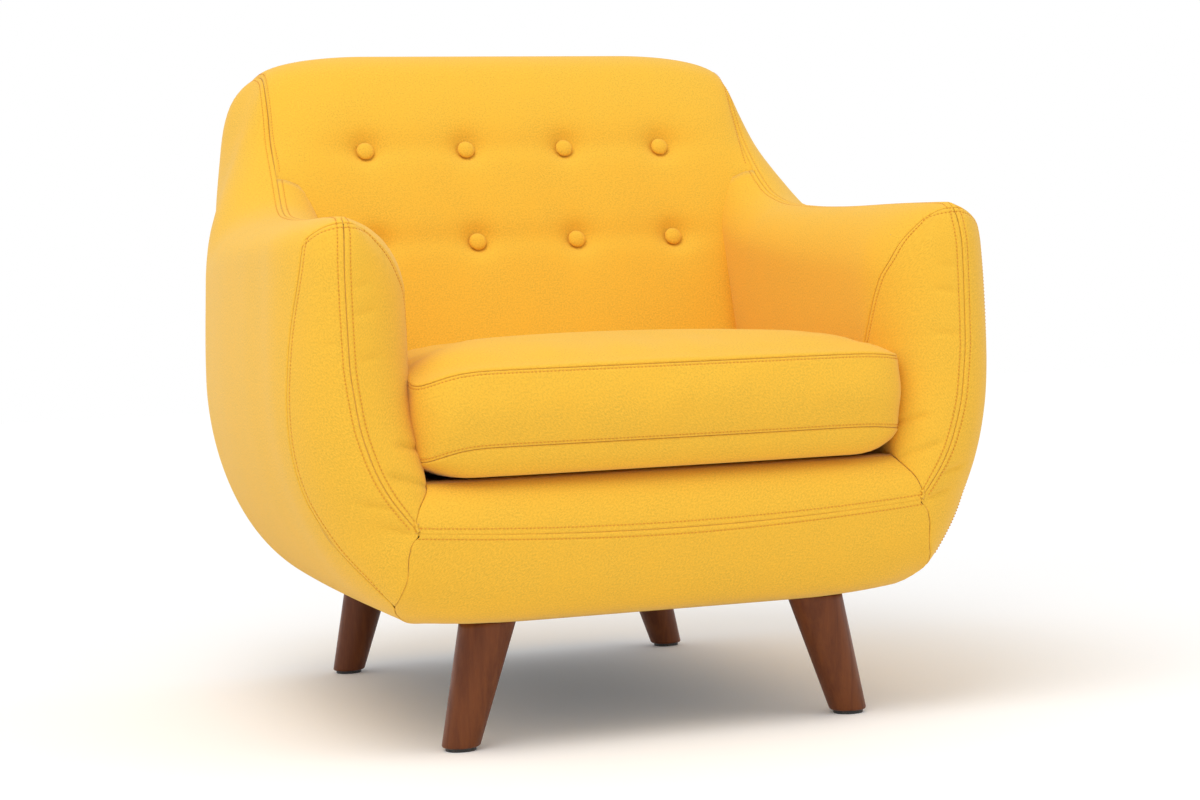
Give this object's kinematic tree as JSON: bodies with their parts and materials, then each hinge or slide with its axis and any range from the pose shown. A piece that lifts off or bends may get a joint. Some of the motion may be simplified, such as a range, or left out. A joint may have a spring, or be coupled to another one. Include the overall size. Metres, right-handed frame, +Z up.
{
  "type": "armchair",
  "caption": "Upholstered armchair with a button-tufted raked back, rounded arms, a loose lift-out seat cushion and splayed tapered wooden legs.",
  "frame": {"origin": "on the floor under the middle of the chair, at the bottom centre of its box", "axes": "+Z up, the sitter faces -Y, +X to the viewer's right seen from the front"},
  "size_m": [0.91, 0.852, 0.872],
  "materials": {
    "cover_cloth": "matte",
    "foam": "matte",
    "deck_cloth": "matte",
    "dust_cloth": "matte",
    "webbing": "matte",
    "dark_wood": "satin",
    "plywood": "matte",
    "frame_timber": "matte",
    "steel": "satin",
    "zip_metal": "satin",
    "zip_cloth": "matte",
    "glide_plastic": "matte"
  },
  "bodies": {
    "chair": {"arm_cover_left": "cover_cloth", "arm_cover_right": "cover_cloth", "arm_foam_left": "foam", "arm_foam_right": "foam", "arm_panel_left": "plywood", "arm_panel_right": "plywood", "arm_ribs_left": "plywood", "arm_ribs_right": "plywood", "arm_top_board_left": "plywood", "arm_top_board_right": "plywood", "back_buttons": "cover_cloth", "back_cover": "cover_cloth", "back_foam": "foam", "back_panel_left": "plywood", "back_panel_right": "plywood", "back_top_rail": "frame_timber", "back_webbing": "webbing", "border_cover": "cover_cloth", "border_foam": "foam", "button_ties": "webbing", "cross_rail": "frame_timber", "deck_cloth": "deck_cloth", "deck_foam": "foam", "dust_cover": "dust_cloth", "front_rail": "frame_timber", "leg_blocks": "frame_timber", "leg_bolts": "steel", "leg_front_left": "dark_wood", "leg_front_right": "dark_wood", "leg_glides": "glide_plastic", "leg_plates": "steel", "leg_rear_left": "dark_wood", "leg_rear_right": "dark_wood", "lumbar_rail": "frame_timber", "outside_back": "cover_cloth", "rear_rail": "frame_timber", "seat_springs": "steel", "side_rail_left": "frame_timber", "side_rail_right": "frame_timber", "spring_clips": "steel"},
    "seat_cushion": {"cushion_cover": "cover_cloth", "cushion_core": "foam", "zip_tape": "zip_cloth"},
    "zip_slider": {"zip_slider": "zip_metal"}
  },
  "joints": [
    {"name": "cushion_lift", "type": "slide", "parent": "chair", "child": "seat_cushion", "axis": [0, 0, 1], "range_m": [0, 0.25]},
    {"name": "zip_pull", "type": "slide", "parent": "seat_cushion", "child": "zip_slider", "axis": [1, 0, 0], "range_m": [-0.456, 0]}
  ]
}
